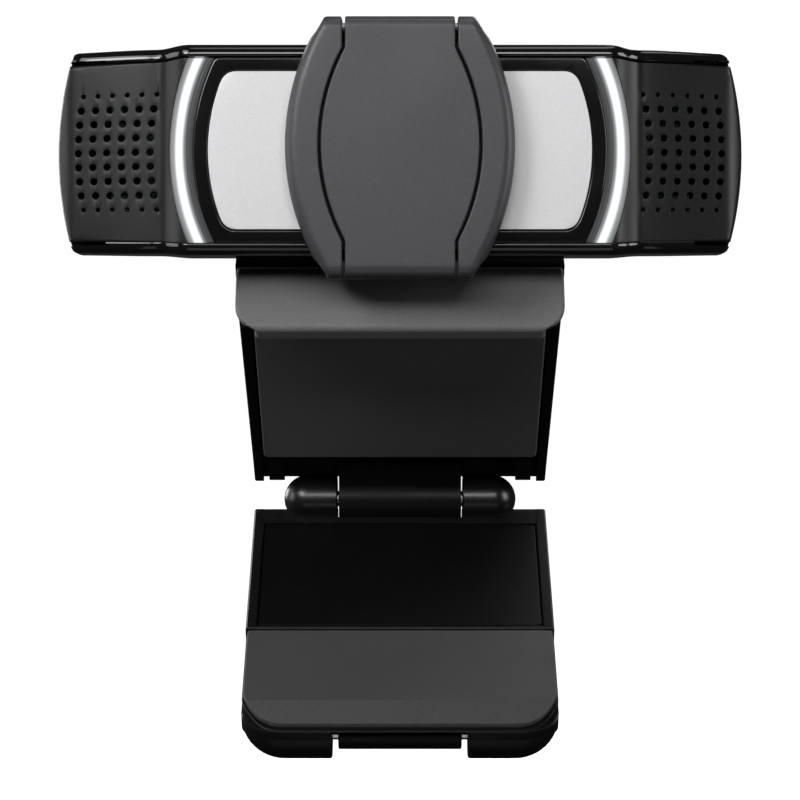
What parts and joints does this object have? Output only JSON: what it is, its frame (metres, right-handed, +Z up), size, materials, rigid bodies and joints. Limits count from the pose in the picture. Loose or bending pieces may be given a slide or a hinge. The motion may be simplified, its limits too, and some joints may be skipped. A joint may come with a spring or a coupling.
{
  "type": "webcam",
  "caption": "Wide USB webcam head with a flip-up privacy shutter, on a fold-out clip that hooks over the top of a monitor.",
  "frame": {"origin": "middle of the lower face of the clip plate's grip pad, the face that rests on the top edge of a monitor", "axes": "+X to the viewer's right when looking at the lens side from the front, +Y from the lens towards the back, +Z up; the lens looks along -Y"},
  "size_m": [0.094, 0.0679, 0.1015],
  "materials": {
    "gloss_black_plastic": "polished",
    "satin_black_plastic": "satin",
    "grille_plastic": "fine texture",
    "shutter_plastic": "satin",
    "silver_plate": "brushed",
    "light_guide": "diffuse white",
    "lens_glass": "coated",
    "pad_rubber": "matt",
    "lip_rubber": "fine texture",
    "steel": "turned",
    "brass": "turned",
    "circuit_board": "solder mask",
    "chip_plastic": "moulded",
    "felt": "felt"
  },
  "bodies": {
    "clip_base": {"clip_plate": "satin_black_plastic", "front_lip": "lip_rubber", "lip_pad": "pad_rubber", "plate_pad": "pad_rubber", "tilt_neck": "satin_black_plastic", "tilt_pin": "steel", "left_tilt_washer": "steel", "right_tilt_washer": "steel", "left_neck_screw": "steel", "right_neck_screw": "steel", "leg_pin": "steel", "hinge_friction_clip": "steel"},
    "camera_head": {"rear_housing": "gloss_black_plastic", "front_bezel": "gloss_black_plastic", "face_plate": "silver_plate", "lens_ring": "gloss_black_plastic", "lens_window": "lens_glass", "chassis": "satin_black_plastic", "focus_housing": "satin_black_plastic", "infrared_filter": "lens_glass", "image_sensor": "chip_plastic", "sensor_board": "circuit_board", "board_connector": "satin_black_plastic", "main_board": "circuit_board", "processor_chip": "chip_plastic", "cable_socket": "satin_black_plastic", "cable_gland": "pad_rubber", "left_grille": "grille_plastic", "left_light_bar": "light_guide", "left_led_board": "circuit_board", "left_mic_gasket": "pad_rubber", "left_microphone": "steel", "left_board_screw": "steel", "lower_left_chassis_screw": "steel", "upper_left_chassis_screw": "steel", "right_grille": "grille_plastic", "right_light_bar": "light_guide", "right_led_board": "circuit_board", "right_mic_gasket": "pad_rubber", "right_microphone": "steel", "right_board_screw": "steel", "lower_right_chassis_screw": "steel", "upper_right_chassis_screw": "steel", "shutter_frame": "shutter_plastic", "shutter_pin": "steel"},
    "lens_carrier": {"lens_barrel": "satin_black_plastic", "front_lens": "lens_glass"},
    "shutter_flap": {"shutter_flap": "shutter_plastic", "flap_pad": "felt"},
    "clip_leg": {"leg_shell": "satin_black_plastic", "leg_panel": "gloss_black_plastic", "leg_cover": "satin_black_plastic", "tripod_insert": "brass", "rear_left_cover_screw": "steel", "rear_right_cover_screw": "steel", "front_left_cover_screw": "steel", "front_right_cover_screw": "steel", "foot_pin": "steel"},
    "clip_foot": {"foot_shell": "satin_black_plastic", "foot_pad": "pad_rubber"}
  },
  "joints": [
    {"name": "head_tilt", "type": "hinge", "parent": "clip_base", "child": "camera_head", "pos_m": [0, -0.01182, 0.01523], "axis": [-1, 0, 0], "range_deg": [-3, 45]},
    {"name": "lens_focus", "type": "slide", "parent": "camera_head", "child": "lens_carrier", "axis": [0, -1, 0], "range_m": [0, 0.0004], "stiffness_N_per_m": 100},
    {"name": "shutter_flip", "type": "hinge", "parent": "camera_head", "child": "shutter_flap", "pos_m": [0, -0.03282, 0.04703], "axis": [-1, 0, 0], "range_deg": [0, 180]},
    {"name": "leg_fold", "type": "hinge", "parent": "clip_base", "child": "clip_leg", "pos_m": [0, 0.02946, -0.01805], "axis": [1, 0, 0], "range_deg": [-62, 88]},
    {"name": "foot_fold", "type": "hinge", "parent": "clip_leg", "child": "clip_foot", "pos_m": [0, -0.01339, -0.04963], "axis": [1, 0, 0], "range_deg": [0, 165]}
  ]
}
